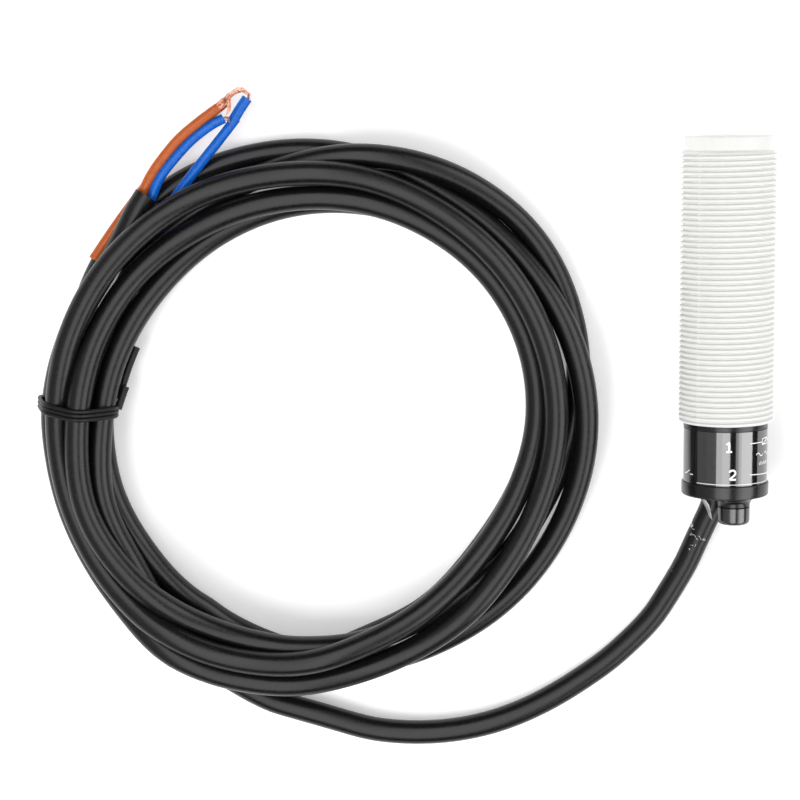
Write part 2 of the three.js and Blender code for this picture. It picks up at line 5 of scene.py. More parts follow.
import bmesh
import bpy
import numpy as np
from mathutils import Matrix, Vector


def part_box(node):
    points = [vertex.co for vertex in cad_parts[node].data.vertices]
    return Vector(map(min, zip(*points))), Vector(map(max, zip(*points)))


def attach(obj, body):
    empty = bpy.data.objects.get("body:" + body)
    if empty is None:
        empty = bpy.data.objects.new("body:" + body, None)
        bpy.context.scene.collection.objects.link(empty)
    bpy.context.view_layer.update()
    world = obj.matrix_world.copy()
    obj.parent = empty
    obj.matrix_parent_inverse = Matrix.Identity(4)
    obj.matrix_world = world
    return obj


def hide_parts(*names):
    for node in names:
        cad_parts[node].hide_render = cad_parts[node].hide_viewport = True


# Looks of a capacitive proximity sensor and its coiled lead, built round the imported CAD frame.
# Metres throughout; MM turns millimetres into metres. The sensor's axis runs along Y.
MM = 0.001

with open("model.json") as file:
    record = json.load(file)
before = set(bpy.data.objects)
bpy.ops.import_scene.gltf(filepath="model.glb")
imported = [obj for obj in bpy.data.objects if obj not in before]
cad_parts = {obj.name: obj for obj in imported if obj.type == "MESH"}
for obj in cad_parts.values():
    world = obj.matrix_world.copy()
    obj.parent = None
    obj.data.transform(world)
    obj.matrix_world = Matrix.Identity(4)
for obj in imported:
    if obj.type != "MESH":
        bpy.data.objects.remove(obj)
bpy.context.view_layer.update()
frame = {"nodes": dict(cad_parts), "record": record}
nodes = frame["nodes"]

# ---------------------------------------------------------------- camera
camera = bpy.data.objects.new("camera", bpy.data.cameras.new("camera"))
bpy.context.collection.objects.link(camera)
bpy.context.scene.camera = camera
camera.location = (-0.0623, 0.04449, 0.40978)
camera.rotation_euler = (math.radians(-8.13), math.radians(-0.08), math.radians(-0.53))
camera.data.lens = 95.33
camera.data.sensor_width = 36.0
camera.data.clip_start = 0.01

# ---------------------------------------------------------------- the lead's route
LEAD_DIAMETER = 0.0047
LEAD_RADIUS = LEAD_DIAMETER / 2
LEAD_ROUTE = [
    (-0.0012, -0.0262, 0.0055), (-0.0012, -0.0290, 0.0055), (-0.0012, -0.0319, 0.0055),
    (-0.0020, -0.0352, 0.0053), (-0.0033, -0.0383, 0.0049), (-0.0049, -0.0422, 0.0041),
    (-0.0068, -0.0468, 0.0032), (-0.0099, -0.0525, 0.0025), (-0.0135, -0.0580, 0.0024),
    (-0.0192, -0.0638, 0.0024), (-0.0237, -0.0675, 0.0024), (-0.0326, -0.0733, 0.0024),
    (-0.0417, -0.0775, 0.0024), (-0.0508, -0.0798, 0.0024), (-0.0600, -0.0804, 0.0024),
    (-0.0691, -0.0795, 0.0024), (-0.0770, -0.0778, 0.0024),
]
COIL_CENTRE = (-0.0779, -0.0176)
COIL_START = 260    # degrees from +X; the turns run clockwise seen from above
COIL_STEP = 20
COIL_END = 126
# For each turn, at every step: the strand's distance from the coil's centre in millimetres, and the
# layer that it lies in, 0 on the table. settle() below finds the heights.
COIL_TURNS = [
    [(57, 0), (51.5, 0), (46, 1), (44.5, 1), (42, 1), (41, 1), (40.5, .8), (41, .5), (42, .2),
     (43, 0), (44, 0), (44, 0), (44, 0), (43, 0), (41, 0), (40.5, 0), (42.5, 0), (44, 0)],
    [(48, .8), (47.5, 0), (47.5, 0), (47.5, 0), (47.5, 0), (49.5, 0), (52, 0), (53, 0), (52.5, 0),
     (51.5, 0), (50, .3), (50, 1), (51, 1), (51.5, 1), (51.5, .7), (51, 0), (50, 0), (49, 0)],
    [(46, 0), (44, 0), (43, 0), (43, 0), (42.5, 0), (43, 0), (46, 0), (47, 0), (49, .5), (52, 1),
     (54, 1), (54.5, .3), (52.5, 0), (49.5, 0), (46.5, 0), (45, 0), (43, .6), (43.5, 1)],
    [(44, 1.1), (45, 1.2), (46.5, 1.8), (47.5, 2), (46, 1.9), (45.5, 1.5), (45, 1.5), (44, 1.2),
     (43.5, 1), (43.5, 1), (43.5, 1), (43.5, 1), (43, 1), (42, 1), (40.5, 1), (40, 1), (41, 1.8),
     (43, 2)],
    [(46.5, 2.2), (49, 2), (50.5, 1.3), (50.5, 1), (50, 1), (50, 1.6), (50, 1.9), (49.5, 1.3),
     (48.5, 1.3), (48, 1.5), (47, 1.5), (46.5, 1.5), (46, 1.5), (45.5, 1.5), (45, 1.2), (45.5, 1),
     (47, 1), (49, 1)],
    [(51.5, 1), (53, 1), (52.5, .2), (52, 0), (51.5, 0), (50.5, .6), (50.5, 1), (54.5, 1)],
]
LAYER_HEIGHT = 0.95 * LEAD_DIAMETER
SAMPLE = 0.003          # spacing of the points that settle() moves
HELD_POINTS = 12        # the first points, which the cap holds
NEIGHBOURS = 3 * LEAD_DIAMETER      # a strand doesn't meet itself within this length
MEETING = 1.6 * LEAD_DIAMETER       # strands that pass each other wider than this never touch
SAME_LAYER = 0.5 * MM   # strands closer in height than this start in no order
SETTLE_ROUNDS = 300
PUSHES = 4              # how often in a round strands that overlap are moved apart
SINK = 0.06 * MM        # how far every strand sinks in a round
RETURN_SHARE = 0.35     # how much of its drift seen from above a strand loses in a round
ASIDE_SHARE = 0.04      # how much of an overlap the strands make up by moving apart sideways
LIFT_SHARE = 0.5        # and how much each of the two makes up in height
LAST_SMOOTHINGS = 3


def smooth_curve(points, steps):
    """A Catmull-Rom curve through the points, as rows of an array."""
    points = np.asarray(points, float)
    padded = np.vstack([2 * points[0] - points[1], points, 2 * points[-1] - points[-2]])
    rows = []
    for before, start, end, after in zip(padded, padded[1:], padded[2:], padded[3:]):
        for t in np.arange(steps) / steps:
            rows.append(0.5 * (2 * start + (end - before) * t
                               + (2 * before - 5 * start + 4 * end - after) * t ** 2
                               + (3 * start - before - 3 * end + after) * t ** 3))
    return np.array(rows + [points[-1]])


def even_points(points, spacing):
    """The same curve with its points an even distance apart."""
    points = np.asarray(points, float)
    along = np.concatenate([[0], np.cumsum(np.linalg.norm(np.diff(points, axis=0), axis=1))])
    wanted = np.linspace(0, along[-1], max(2, round(along[-1] / spacing) + 1))
    return np.stack([np.interp(wanted, along, column) for column in points.T], axis=1)


def coil_route():
    """The coil's strand as it lies before it settles, from COIL_TURNS."""
    knots = [knot for turn in COIL_TURNS for knot in turn]
    angles = [COIL_START - COIL_STEP * i for i in range(len(knots))]
    angles[-1] = COIL_END - 360 * (len(COIL_TURNS) - 1)
    rows = smooth_curve([(angle, *knot) for angle, knot in zip(angles, knots)], 8)
    angle = np.radians(rows[:, 0])
    radius = rows[:, 1] * MM
    return np.stack([COIL_CENTRE[0] + radius * np.cos(angle),
                     COIL_CENTRE[1] + radius * np.sin(angle),
                     LEAD_RADIUS + LAYER_HEIGHT * rows[:, 2]], axis=1)


def even_heights(path):
    """One round of smoothing of the heights along a path, in place."""
    z = path[:, 2].copy()
    path[2:-2, 2] = (6 * z[2:-2] + 4 * (z[1:-3] + z[3:-1]) + z[:-4] + z[4:]) / 16


def settle(home):
    """Lets the strands of the coil sink onto the table and onto each other, in the order of their
    layers, while each keeps its bend and its way round."""
    path = home.copy()
    index = np.arange(len(path))
    apart = np.abs(index[:, None] - index[None, :]) > NEIGHBOURS / SAMPLE
    across = np.linalg.norm(home[:, None, :2] - home[None, :, :2], axis=2)
    one, other = np.where(np.triu(apart, 1) & (across < MEETING))
    rise = home[one, 2] - home[other, 2]
    order = np.where(np.abs(rise) > SAME_LAYER, np.sign(rise), 0)
    for _ in range(SETTLE_ROUNDS):
        path[:, 2] -= SINK
        path[2:-2] = (10 * path[2:-2] + 4 * (path[1:-3] + path[3:-1])
                      - path[:-4] - path[4:]) / 16
        even_heights(path)
        path[:, :2] += RETURN_SHARE * (home[:, :2] - path[:, :2])
        for _ in range(PUSHES):
            gap = path[one] - path[other]
            across = np.hypot(gap[:, 0], gap[:, 1]) + 1e-9
            sense = np.where(order != 0, order, np.where(gap[:, 2] < 0, -1, 1))
            lack = np.sqrt(np.maximum(LEAD_DIAMETER ** 2 - across ** 2, 0)) - sense * gap[:, 2]
            clash = (across < LEAD_DIAMETER) & (lack > 0)
            aside = ASIDE_SHARE * np.minimum(lack, LEAD_DIAMETER - across) / across
            push = np.column_stack([gap[:, :2] * aside[:, None], LIFT_SHARE * sense * lack])[clash]
            moved = np.zeros_like(path)
            touched = np.zeros(len(path))
            np.add.at(moved, one[clash], push)
            np.add.at(moved, other[clash], -push)
            np.add.at(touched, one[clash], 1)
            np.add.at(touched, other[clash], 1)
            path += moved / np.maximum(1, touched * 0.5)[:, None]
            path[:, 2] = np.maximum(path[:, 2], LEAD_RADIUS)
        path[:HELD_POINTS] = home[:HELD_POINTS]
    for _ in range(LAST_SMOOTHINGS):
        even_heights(path)
    return path


whole_route = np.vstack([smooth_curve(LEAD_ROUTE, 8)[:-8], coil_route()])
lead_path = smooth_curve(settle(even_points(whole_route, SAMPLE)), 2)
lead_path[:, 2] = np.maximum(lead_path[:, 2], LEAD_RADIUS)


# ---------------------------------------------------------------- mesh helpers
SAME_POINT = 0.0005 * MM
SHARP_ABOVE = math.radians(35)


def clean_mesh(name, points, faces):
    """A mesh with doubled points merged and every face turned outwards."""
    mesh = bpy.data.meshes.new(name)
    mesh.from_pydata([tuple(point) for point in points], [], [tuple(face) for face in faces])
    work = bmesh.new()
    work.from_mesh(mesh)
    bmesh.ops.remove_doubles(work, verts=work.verts, dist=SAME_POINT)
    bmesh.ops.recalc_face_normals(work, faces=work.faces)
    work.to_mesh(mesh)
    work.free()
    mesh.validate()
    return mesh


def smooth_shade(piece):
    """Smooth shading, apart from sharp edges."""
    piece.data.polygons.foreach_set("use_smooth", [True] * len(piece.data.polygons))
    piece.data.set_sharp_from_angle(angle=SHARP_ABOVE)


def mesh_piece(name, points, faces, material, body="housing", slot=None):
    """A finished piece of the visual model, which moves with a body of the frame."""
    mesh = clean_mesh(name, points, faces)
    mesh.materials.append(material)
    piece = bpy.data.objects.new(name, mesh)
    bpy.context.collection.objects.link(piece)
    smooth_shade(piece)
    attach(piece, body)
    return piece


def join_meshes(parts):
    """One list of points and one of faces out of several such pairs."""
    points, faces = [], []
    for more_points, more_faces in parts:
        start = len(points)
        points.extend(more_points)
        faces.extend([start + corner for corner in face] for face in more_faces)
    return points, faces


def grid_faces(rows, around, closed=True):
    """Quads between rows of points that each have the same number of points."""
    faces = []
    for i in range(rows - 1):
        for j in range(around if closed else around - 1):
            k = (j + 1) % around
            faces.append((i * around + j, i * around + k,
                          (i + 1) * around + k, (i + 1) * around + j))
    return faces


def capped_faces(rows, around):
    """The same, with a face over each end."""
    last = (rows - 1) * around
    return grid_faces(rows, around) + [tuple(reversed(range(around))),
                                       tuple(last + j for j in range(around))]


def swept(path, section, ring_closed=False):
    """A section carried along a path without twisting. The section is a list of (side, up) offsets,
    or a function that gives that list at each fraction of the length."""
    path = np.asarray(path, float)
    tangent = np.gradient(path, axis=0)
    if ring_closed:
        tangent = np.roll(path, -1, axis=0) - np.roll(path, 1, axis=0)
    tangent /= np.linalg.norm(tangent, axis=1)[:, None]
    side = np.cross(tangent[0], (0.0, 0.0, 1.0))
    if np.linalg.norm(side) < 0.1:
        side = np.cross(tangent[0], (1.0, 0.0, 0.0))
    points = []
    for i, place in enumerate(path):
        side = side - tangent[i] * side.dot(tangent[i])
        side /= np.linalg.norm(side)
        up = np.cross(side, tangent[i])
        offsets = section(i / (len(path) - 1)) if callable(section) else section
        points.extend(place + side * a + up * b for a, b in offsets)
    around = len(points) // len(path)
    if not ring_closed:
        return points, capped_faces(len(path), around)
    last = (len(path) - 1) * around
    closing = [(last + j, last + (j + 1) % around, (j + 1) % around, j) for j in range(around)]
    return points, grid_faces(len(path), around) + closing


def oval(width, height, sides):
    """An ellipse of the given half width and half height."""
    turns = [2 * math.pi * j / sides for j in range(sides)]
    return [(width * math.cos(turn), height * math.sin(turn)) for turn in turns]


def tube(path, radius, sides=16):
    """A round rod along a path."""
    return swept(path, oval(radius, radius, sides))


def turned(outline, x=0.0, z=0.0, around=96):
    """A body turned about an axis along Y through (x, z). The outline lists (radius, y)."""
    points = []
    for radius, y in outline:
        for j in range(around):
            turn = 2 * math.pi * j / around
            points.append((x + radius * math.sin(turn), y, z + radius * math.cos(turn)))
    return points, capped_faces(len(outline), around)


def rounded(corner_r, corner_y, radius, start, end, steps=6):
    """Outline points of a rounded corner about a centre, between two angles in degrees, where 0
    points outwards and 90 towards +Y."""
    turns = [math.radians(start + (end - start) * i / steps) for i in range(steps + 1)]
    return [(corner_r + radius * math.cos(t), corner_y + radius * math.sin(t)) for t in turns]


def cut(piece, operation, other):
    """Applies a boolean with another piece, which is then removed."""
    modifier = piece.modifiers.new("cut", "BOOLEAN")
    modifier.operation = operation
    modifier.solver = "EXACT"
    modifier.object = other
    bpy.context.view_layer.update()
    result = bpy.data.meshes.new_from_object(
        piece.evaluated_get(bpy.context.evaluated_depsgraph_get()))
    piece.modifiers.clear()
    piece.data = result
    bpy.data.objects.remove(other)
    smooth_shade(piece)


def solid(points_and_faces, material):
    """A bare object for use in cut()."""
    mesh = clean_mesh("tool", *points_and_faces)
    mesh.materials.append(material)
    tool = bpy.data.objects.new("tool", mesh)
    bpy.context.collection.objects.link(tool)
    return tool


# ---------------------------------------------------------------- materials
NOISE_LOW, NOISE_HIGH = 0.3, 0.7        # the part of the noise's range that the looks spread over
SHINIEST, DULLEST = 0.9, 1.12           # and how far the roughness varies


def finish(name, color, roughness, spread=0.15, grain=900.0, bump=0.0, **sockets):
    """A material whose colour and roughness vary by noise, with a fine bump. The grain is in noise
    cells per metre and the bump in metres."""
    material = bpy.data.materials.new(name)
    material.use_nodes = True
    tree = material.node_tree
    shader = tree.nodes["Principled BSDF"]
    for socket, value in sockets.items():
        shader.inputs[socket.replace("_", " ")].default_value = value
    place = tree.nodes.new("ShaderNodeTexCoord")
    noise = tree.nodes.new("ShaderNodeTexNoise")
    noise.inputs["Scale"].default_value = grain
    noise.inputs["Detail"].default_value = 4.0
    tree.links.new(place.outputs["Object"], noise.inputs["Vector"])
    ramp = tree.nodes.new("ShaderNodeValToRGB")
    ramp.color_ramp.elements[0].position = NOISE_LOW
    ramp.color_ramp.elements[1].position = NOISE_HIGH
    ramp.color_ramp.elements[0].color = (*[max(0, c * (1 - spread)) for c in color], 1)
    ramp.color_ramp.elements[1].color = (*[min(1, c * (1 + spread)) for c in color], 1)
    tree.links.new(noise.outputs["Fac"], ramp.inputs["Fac"])
    tree.links.new(ramp.outputs["Color"], shader.inputs["Base Color"])
    shine = tree.nodes.new("ShaderNodeMapRange")
    shine.inputs["From Min"].default_value = NOISE_LOW
    shine.inputs["From Max"].default_value = NOISE_HIGH
    shine.inputs["To Min"].default_value = roughness * SHINIEST
    shine.inputs["To Max"].default_value = min(1, roughness * DULLEST)
    tree.links.new(noise.outputs["Fac"], shine.inputs["Value"])
    tree.links.new(shine.outputs["Result"], shader.inputs["Roughness"])
    if bump:
        relief = tree.nodes.new("ShaderNodeBump")
        relief.inputs["Distance"].default_value = bump
        relief.inputs["Strength"].default_value = 1.0
        tree.links.new(noise.outputs["Fac"], relief.inputs["Height"])
        tree.links.new(relief.outputs["Normal"], shader.inputs["Normal"])
    return material


white_plastic = finish("white_plastic", (0.745, 0.745, 0.73), 0.5, 0.012, 700, 0.004 * MM,
                       Specular_IOR_Level=0.15)
black_gloss = finish("black_gloss", (0.008, 0.008, 0.0085), 0.2, 0.2, 1500, 0.003 * MM, IOR=1.75)
black_satin = finish("black_satin", (0.007, 0.007, 0.008), 0.23, 0.25, 2500, 0.005 * MM,
                     Specular_IOR_Level=0.4)
sheath = finish("sheath", (0.006, 0.006, 0.0065), 0.30, 0.25, 1800, 0.010 * MM,
                Specular_IOR_Level=0.25)
tie_plastic = finish("tie_plastic", (0.006, 0.006, 0.007), 0.42, 0.2, 2000, 0.01 * MM,
                     Specular_IOR_Level=0.2)
label_gloss = finish("label_gloss", (0.008, 0.008, 0.009), 0.10, 0.2, 900, 0.0006 * MM, IOR=2.05)
label_dull = finish("label_dull", (0.009, 0.009, 0.010), 0.12, 0.2, 900, 0.001 * MM, IOR=1.9)
print_white = finish("print_white", (0.86, 0.86, 0.85), 0.5, 0.03, 4000)
rubber = finish("rubber", (0.015, 0.015, 0.016), 0.6, 0.3, 2500, 0.01 * MM)
glue = finish("glue", (0.75, 0.76, 0.78), 0.06, 0.03, 900, 0.01 * MM,
              Transmission_Weight=0.85, IOR=1.48)
brown_plastic = finish("brown_plastic", (0.42, 0.092, 0.016), 0.3, 0.12, 1500, 0.004 * MM,
                       Specular_IOR_Level=0.22)
blue_plastic = finish("blue_plastic", (0.002, 0.105, 0.49), 0.28, 0.12, 1500, 0.004 * MM,
                      Specular_IOR_Level=0.22)
# the copper's wide colour spread is partly the strands' own uneven tone and partly painted
# highlight and painted shade: pale and dark patches fall at random along the strands
copper = finish("copper", (0.60, 0.26, 0.17), 0.32, 0.75, 1800, 0.004 * MM, Metallic=0.8)
brass = finish("brass", (0.74, 0.56, 0.26), 0.3, 0.08, 2500, 0.004 * MM, Metallic=1.0)
aluminium = finish("aluminium", (0.72, 0.73, 0.75), 0.3, 0.05, 2500, 0.003 * MM, Metallic=1.0)
board_green = finish("board_green", (0.025, 0.15, 0.06), 0.4, 0.15, 800, 0.004 * MM)
chip_black = finish("chip_black", (0.02, 0.02, 0.021), 0.5, 0.3, 4000, 0.006 * MM)
ceramic_tan = finish("ceramic_tan", (0.50, 0.33, 0.17), 0.5, 0.1, 2500, 0.006 * MM)
carrier_cream = finish("carrier_cream", (0.75, 0.72, 0.63), 0.5, 0.05, 1200, 0.005 * MM)
trimmer_blue = finish("trimmer_blue", (0.04, 0.18, 0.48), 0.4, 0.1, 1500, 0.004 * MM)
resin_brown = finish("resin_brown", (0.12, 0.10, 0.07), 0.25, 0.2, 1000, 0.01 * MM)
lens_red = finish("lens_red", (0.45, 0.02, 0.015), 0.12, 0.1, 1000, 0.001 * MM,
                  Transmission_Weight=0.4, IOR=1.49)

SLOT_FINISH = {
    "barrel_plastic": white_plastic, "cap_plastic": black_gloss, "label_film": label_gloss,
    "trimmer_body": trimmer_blue, "rotor_brass": brass, "lens_red": lens_red,
    "black_rubber": rubber, "carrier_plastic": carrier_cream, "copper": copper,
    "board": board_green, "chip_plastic": chip_black, "ceramic": ceramic_tan,
    "can_aluminium": aluminium, "resin": resin_brown, "cable_sheath": sheath,
    "tie_plastic": tie_plastic, "core_brown": brown_plastic, "core_blue": blue_plastic,
}
for subpart in frame["record"]["subparts"]:
    mesh = nodes[subpart["node"]].data
    mesh.materials.clear()
    mesh.materials.append(SLOT_FINISH[subpart["material_slot"]])

# ---------------------------------------------------------------- the lead
cable = mesh_piece("cable", *tube(lead_path, LEAD_RADIUS, 24), sheath, slot="cable_sheath")
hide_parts("cable_lead", "cable_coil")

# the two conductors past the end of the sheath, and the pulled-off ends of their insulation
CORE_RADIUS = 0.95 * MM
OFFCUT_RADIUS = CORE_RADIUS + 0.07 * MM
lead_end = lead_path[-1]
lead_way = lead_path[-1] - lead_path[-4]
lead_way /= np.linalg.norm(lead_way)
lead_side = np.cross(lead_way, (0, 0, 1))


def from_sheath(across, points):
    """A conductor's path: it starts inside the sheath, beside its axis, and goes through the
    points, which are in millimetres."""
    inside = [lead_end - lead_way * back * MM + lead_side * across * MM for back in (3, 0.2)]
    return smooth_curve(np.vstack([inside, np.array(points) * MM]), 10)


core_paths = {
    "brown_core": from_sheath(-1.0, [
        (-108.8, 30.6, 7.3), (-106.2, 34.1, 7.4), (-103.3, 37.3, 7.5), (-99.5, 40.4, 7.4),
        (-96.0, 42.9, 7.1)]),
    "blue_core": from_sheath(1.0, [
        (-107.3, 29.8, 7.2), (-104.4, 33.5, 7.2), (-101.1, 36.9, 7.2), (-97.6, 39.5, 7.1),
        (-95.0, 40.9, 7.0)]),
    "brown_slug": smooth_curve(np.array([
        (-94.7, 44.0, 5.0), (-103.0, 37.0, 4.6), (-108.6, 30.4, 4.2), (-113.6, 24.2, 4.1),
        (-117.2, 19.3, 4.6), (-120.6, 14.4, 5.2)]) * MM, 10),
    "blue_slug": smooth_curve(np.array([
        (-92.7, 40.9, 6.3), (-95.6, 37.3, 6.2), (-99.8, 32.2, 6.1), (-104.6, 26.2, 5.4),
        (-108.3, 20.6, 4.4)]) * MM, 10),
}
# a short sleeve of the insulation, still on the end of the blue slug
OFFCUT_POINTS = [(-90.5, 44.6, 6.9), (-91.9, 42.6, 6.8), (-93.6, 39.9, 6.6)]
offcut_path = smooth_curve(np.array(OFFCUT_POINTS) * MM, 8)
for name, path in core_paths.items():
    color = name.split("_")[0]
    shapes = [tube(path, CORE_RADIUS, 20)]
    if name == "blue_slug":
        shapes.append(tube(offcut_path, OFFCUT_RADIUS, 20))
    wire = mesh_piece(name + "_wire", *join_meshes(shapes), SLOT_FINISH["core_" + color],
                      slot="core_" + color)
    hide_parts(name)

# ---------------------------------------------------------------- the tie round the coil
TIE_ANGLE = math.radians(176)
TIE_WIRE = 0.42 * MM            # radius of each of its three ridges
TIE_RIDGES = (-0.78, 0, 0.78)   # where they lie across the tie, in millimetres
# its bow along the coil, in millimetres, at distances from the coil's centre
TIE_BOW_AT = (38, 42, 46, 50, 54.5)
TIE_BOW = (-0.1, 0.1, 0.2, -0.1, -0.9)
TIE_SMOOTHING = 6
tie_out = np.array((math.cos(TIE_ANGLE), math.sin(TIE_ANGLE), 0))
tie_along = np.array((-math.sin(TIE_ANGLE), math.cos(TIE_ANGLE), 0))
coil_middle = np.array((*COIL_CENTRE, 0))


def strands_at_tie():
    """(distance from the coil's centre, height) of each strand that passes through the tie."""
    offsets = lead_path - coil_middle
    ahead = offsets @ tie_along
    out = offsets @ tie_out
    crossing = np.where((ahead[:-1] * ahead[1:] <= 0) & (out[:-1] > 0))[0]
    return [(out[i], lead_path[i][2]) for i in crossing]


def tie_loop(gap, shift):
    """A closed path round all the strands at the tie, at a gap from them. It bows along the coil on
    its way across."""
    strands = np.array(strands_at_tie())
    loop = []
    for turn in np.radians(np.arange(0, 360, 5)):
        way = np.array((math.cos(turn), math.sin(turn)))
        r, z = strands[np.argmax(strands @ way)] + way * (LEAD_RADIUS + gap)
        bow = np.interp(r / MM, TIE_BOW_AT, TIE_BOW) * MM
        height = np.array((0, 0, max(z, gap)))
        loop.append(coil_middle + tie_out * r + tie_along * (shift + bow) + height)
    loop = even_points(loop + loop[:1], 0.5 * MM)[:-1]
    for _ in range(TIE_SMOOTHING):
        loop = (2 * loop + np.roll(loop, 1, axis=0) + np.roll(loop, -1, axis=0)) / 4
    return loop


tie_parts = [swept(tie_loop(TIE_WIRE, shift * MM), oval(TIE_WIRE, TIE_WIRE, 12), ring_closed=True)
             for shift in TIE_RIDGES]
# the twisted-off ends, as (distance from the coil's centre, degrees, height), and their half sizes
TAIL_WIDTH = 0.72 * MM
TAIL_HEIGHT = 0.42 * MM
TIE_TAILS = [
    [(38.9, 175.5, 5.2), (38.4, 172, 4.6), (38.0, 168.9, 4.4)],
    [(39.2, 173, 3.4), (38.7, 168.7, 3.5), (38.3, 162.6, 3.7), (38.1, 157, 3.9)],
]
for tail in TIE_TAILS:
    route = [coil_middle + np.array((r * math.cos(math.radians(a)), r * math.sin(math.radians(a)),
                                     z)) * MM for r, a, z in tail]
    tie_parts.append(swept(smooth_curve(route, 8), oval(TAIL_WIDTH, TAIL_HEIGHT, 12)))
tie = mesh_piece("twist_tie", *join_meshes(tie_parts), tie_plastic, slot="tie_plastic")
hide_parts("coil_tie")

# ---------------------------------------------------------------- the bare copper
STRAND_RADIUS = 0.06 * MM
STRAND_WOBBLE = 0.12 * MM
SHORTEST_STRAND = 0.75      # as a share of its bunch's length


def copper_bundle(name, bunches, seed):
    """Fine strands of copper. Each bunch lists the points of its middle line in millimetres, its
    number of strands, and how far they stray from that line at its start and at its end."""
    chance = random.Random(seed)
    parts = []
    for line, count, tight, loose in bunches:
        line = np.array(line) * MM
        for _ in range(count):
            turn = chance.uniform(0, 2 * math.pi)
            reach = math.sqrt(chance.random()) * MM
            aside = np.array((math.cos(turn), math.sin(turn), 0.7 * math.sin(turn + 1))) * reach
            stray = np.linspace(tight, loose, len(line))[:, None]
            wobble = np.array([[chance.gauss(0, STRAND_WOBBLE) for _ in range(3)] for _ in line])
            strand = smooth_curve(line + aside * stray + wobble, 6)
            kept = round(len(strand) * chance.uniform(SHORTEST_STRAND, 1))
            parts.append(tube(strand[:max(8, kept)], STRAND_RADIUS, 6))
    return mesh_piece(name, *join_meshes(parts), copper, slot="copper")


COPPER_BUNCHES = {
    "brown_copper": [
        ([(-97.2, 42.0, 7.0), (-95.4, 43.4, 7.1), (-94.0, 45.0, 7.6), (-92.0, 46.1, 8.0),
          (-90.6, 45.8, 7.6), (-90.2, 44.6, 6.9)], 16, 0.4, 0.5),
        ([(-97.2, 42.0, 7.0), (-95.4, 43.4, 7.1), (-94.5, 44.2, 7.4), (-93.7, 45.1, 7.7)],
         34, 0.6, 0.85),
        ([(-95.2, 43.6, 7.4), (-93.9, 44.2, 8.0), (-93.9, 42.7, 8.1), (-94.2, 41.4, 8.0)],
         12, 0.35, 0.45)],
    "blue_copper": [
        ([(-96.6, 40.2, 6.9), (-95.0, 40.9, 7.0), (-94.2, 40.9, 7.6), (-93.8, 39.8, 8.0)],
         5, 0.35, 0.25),
        ([(-90.9, 43.9, 6.5), (-90.3, 44.9, 6.7), (-90.2, 45.7, 7.0)], 5, 0.3, 0.4)],
}
for seed, (name, bunches) in enumerate(COPPER_BUNCHES.items()):
    bundle = copper_bundle(name, bunches, seed)
    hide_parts(name.replace("copper", "strands"))

# ---------------------------------------------------------------- the threaded barrel
def round_part(node):
    """The (x, z) of the axis of a CAD piece that is round about a line along Y, its radius, and its
    rear and front y."""
    low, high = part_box(node)
    return ((low.x + high.x) / 2, (low.z + high.z) / 2, (high.x - low.x) / 2, low.y, high.y)


_, AXIS_Z, THREAD_RADIUS, BARREL_REAR_Y, FRONT_Y = round_part("barrel")
THREAD_DEPTH = 0.58 * MM
PITCH = 1.0 * MM
COLLAR_RADIUS = 8.4 * MM
COLLAR_LENGTH = 2.6 * MM
THREAD_FRONT_Y = FRONT_Y - COLLAR_LENGTH
BORE_RADIUS = 7.3 * MM
FRONT_WALL = 2.0 * MM
COLLAR_CHAMFER = 0.3 * MM
PARTING_ANGLES = (math.radians(-47), math.radians(133))    # where the halves of the mould met
PARTING_WIDTH = 0.12 * MM   # half width of the seam there
PARTING_DEPTH = 0.6         # the groove's depth in the seam, as a share of its full depth
PARTING_COLUMNS = (-1.4, -0.9, 0.9, 1.4)    # extra columns of points beside it, in half widths
CREST = 0.18                # half width of the crest, in turns
FLANK = 0.28                # width of the flank beside it, in turns
RUN_IN_SLOPE = 1.4          # how fast the thread rises from the collar
RUN_OUT_SLOPE = 0.8         # and at its rear end, where it starts this much below its full height
RUN_OUT_DROP = 0.35 * MM
# rows of the mesh across one turn of the thread, in turns from the crest
THREAD_ROWS = (-0.46, -0.4, -0.35, -0.3, -0.24, -0.18, 0, 0.18, 0.24, 0.3, 0.35, 0.4, 0.46, 0.5)


def thread_radius(y, angle):
    """Radius of the right-hand thread at a place along the barrel and an angle from the top. The
    parting line is a thin raised seam, and the thread runs out at both ends."""
    turns = y / PITCH - angle / (2 * math.pi)
    from_crest = abs(turns - round(turns))
    depth = min(1, max(0, (from_crest - CREST) / FLANK))
    depth = depth * depth * (3 - 2 * depth)
    if any(abs(angle - parting) * THREAD_RADIUS < PARTING_WIDTH for parting in PARTING_ANGLES):
        depth *= PARTING_DEPTH
    run_in = COLLAR_RADIUS + (THREAD_FRONT_Y - y) * RUN_IN_SLOPE
    run_out = THREAD_RADIUS - RUN_OUT_DROP + (y - BARREL_REAR_Y) * RUN_OUT_SLOPE
    return min(THREAD_RADIUS - depth * THREAD_DEPTH, run_in, run_out)


def about_axis(angle, radius, y):
    """A point at an angle in radians from the top of the sensor."""
    return (radius * math.sin(angle), y, AXIS_Z + radius * math.cos(angle))


